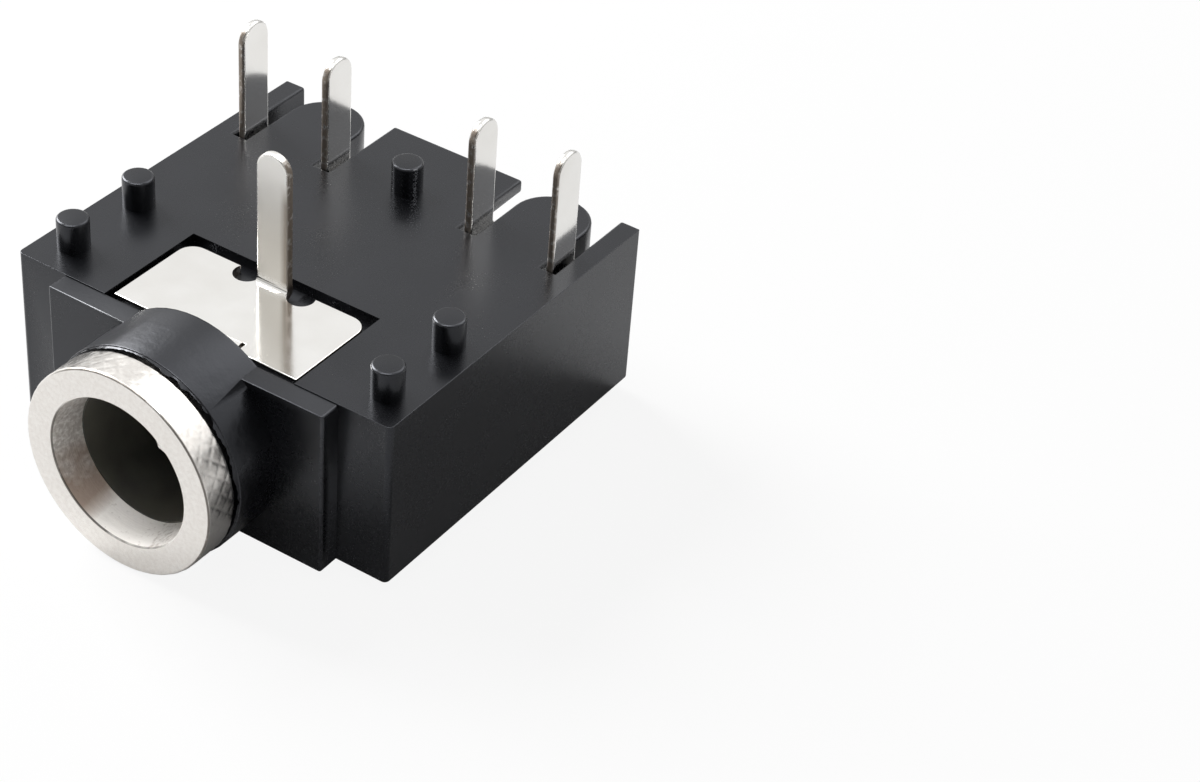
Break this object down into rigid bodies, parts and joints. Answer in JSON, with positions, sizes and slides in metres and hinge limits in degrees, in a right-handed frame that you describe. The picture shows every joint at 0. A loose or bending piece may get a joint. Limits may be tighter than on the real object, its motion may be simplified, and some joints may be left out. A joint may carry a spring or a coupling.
{
  "type": "pcb stereo jack socket",
  "caption": "Low black jack socket for a circuit board: round metal-ringed mouth for a stereo plug, sprung switch contacts inside, flat solder pins and locating pegs on the board face.",
  "frame": {"origin": "centre of the bottom of the bounding box, below the middle of the part as it lies in the picture, with the board face up", "axes": "+Z out of the board face along the solder pins, -Y out of the plug's mouth, +X to the right seen from the mouth"},
  "size_m": [0.011, 0.0132, 0.0085],
  "materials": {
    "plastic": "black moulded plastic, satin",
    "ferrule": "bright nickel plate on turned brass, finely knurled outside",
    "plate": "bright nickel or tin plate on stamped sheet",
    "spring": "bright plate on spring bronze",
    "contact": "bright plate on stamped sheet"
  },
  "bodies": {
    "root": {"housing": "plastic", "ferrule": "ferrule", "sleeve_terminal": "plate", "tip_spring": "spring", "tip_switch_contact": "contact", "ring_spring": "spring", "ring_switch_contact": "contact"}
  },
  "joints": []
}
